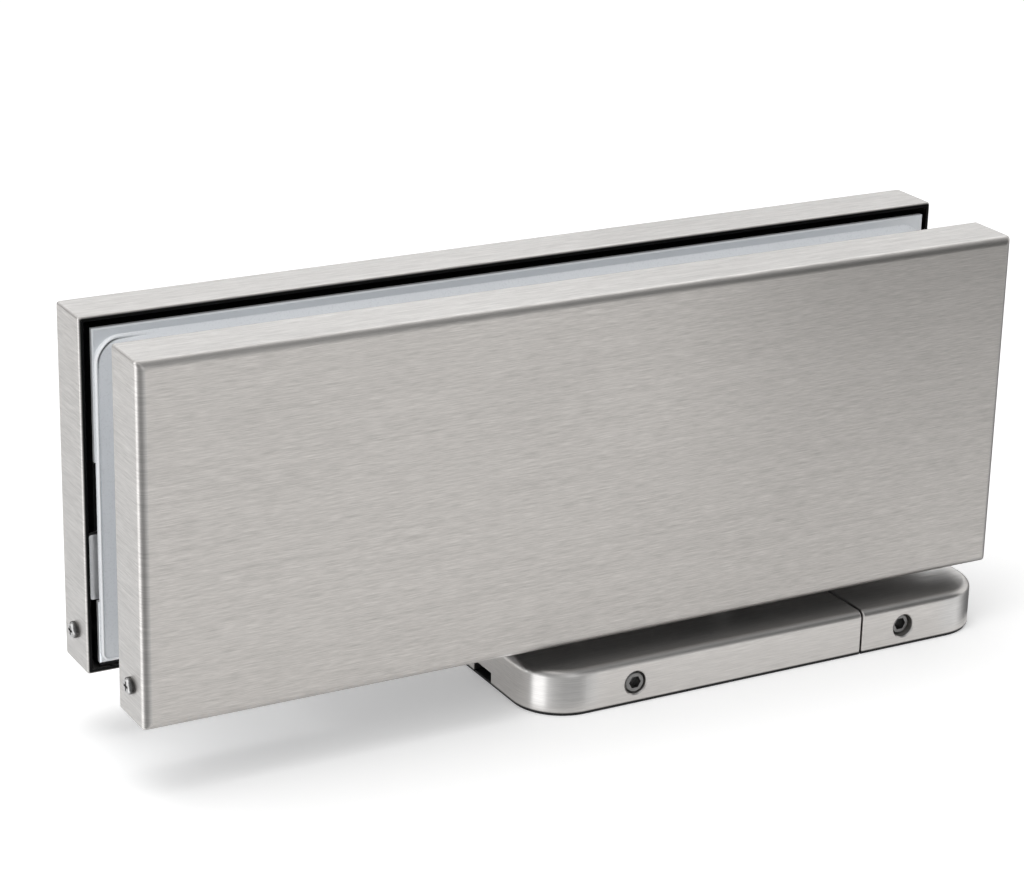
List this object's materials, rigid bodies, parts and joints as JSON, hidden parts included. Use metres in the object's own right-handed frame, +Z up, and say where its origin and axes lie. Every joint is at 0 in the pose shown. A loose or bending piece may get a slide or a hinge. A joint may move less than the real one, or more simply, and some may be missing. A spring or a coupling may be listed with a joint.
{
  "type": "hydraulic floor patch hinge",
  "caption": "Long flat bottom patch hinge for a frameless glass door: brushed covers round a glass slot, hydraulic closer inside, low rounded shoe on the floor.",
  "frame": {"origin": "on the spindle axis at the floor, in the underside of the floor plate", "axes": "+X along the patch towards its short end, -Y the front cover, +Z up the spindle"},
  "size_m": [0.2022, 0.049, 0.0893],
  "materials": {
    "satin_stainless": "satin, brushed along the length",
    "shoe_stainless": "satin, fine brushed",
    "screw_steel": "bright steel",
    "dark_screw_steel": "black oxide",
    "catch_steel": "satin stainless sheet",
    "black_casting": "matt black",
    "bright_plate": "bright plated sheet",
    "grey_gasket": "smooth grey sheet",
    "body_aluminium": "machined",
    "cap_steel": "machined steel",
    "black_rubber": "oil-resistant rubber",
    "bronze": "sintered bronze",
    "spring_steel": "oiled spring wire",
    "ground_steel": "ground and hardened",
    "white_plastic": "sliding-ring plastic",
    "valve_brass": "turned brass",
    "blackened_steel": "blackened steel plate"
  },
  "bodies": {
    "floor_set": {"base_plate": "blackened_steel", "shoe_main": "shoe_stainless", "shoe_end": "shoe_stainless", "shoe_pads": "black_rubber", "shoe_set_screws": "screw_steel", "spindle": "ground_steel"},
    "patch": {"front_cover": "satin_stainless", "rear_cover": "satin_stainless", "cover_screws": "screw_steel", "cover_catches": "catch_steel", "front_clamp": "black_casting", "rear_clamp": "black_casting", "front_pressure_plate": "bright_plate", "rear_pressure_plate": "bright_plate", "front_gasket": "grey_gasket", "rear_gasket": "grey_gasket", "clamp_screws": "dark_screw_steel", "hydraulic_body": "body_aluminium", "left_end_cap": "cap_steel", "right_end_cap": "cap_steel", "cap_seals": "black_rubber", "lower_bush": "bronze", "upper_bush": "bronze", "thrust_washer": "bronze", "spindle_seal": "black_rubber", "left_spring": "spring_steel", "right_spring": "spring_steel"},
    "rack_piston": {"piston": "ground_steel", "piston_rings": "white_plastic", "check_ball": "ground_steel", "check_plug": "cap_steel"},
    "sweep_screw": {"sweep_valve": "valve_brass", "sweep_valve_ring": "black_rubber"},
    "latch_screw": {"latch_valve": "valve_brass", "latch_valve_ring": "black_rubber"}
  },
  "joints": [
    {"name": "door_swing", "type": "hinge", "parent": "floor_set", "child": "patch", "pos_m": [0, 0, 0], "axis": [0, 0, 1], "range_deg": [-90, 90], "stiffness_Nm_per_rad": 5.2},
    {"name": "piston_slide", "type": "slide", "parent": "patch", "child": "rack_piston", "axis": [1, 0, 0], "range_m": [-0.0095, 0.0095], "deforming": ["left_spring", "right_spring"]},
    {"name": "sweep_turn", "type": "hinge", "parent": "patch", "child": "sweep_screw", "pos_m": [-0.034, -0.0164, 0.0485], "axis": [0, -1, 0], "range_deg": [-270, 270]},
    {"name": "latch_turn", "type": "hinge", "parent": "patch", "child": "latch_screw", "pos_m": [0.03, -0.0164, 0.0485], "axis": [0, -1, 0], "range_deg": [-270, 270]}
  ],
  "couplings": [
    {"joint": "piston_slide", "follows": "door_swing", "m_per_rad": 0.006}
  ]
}
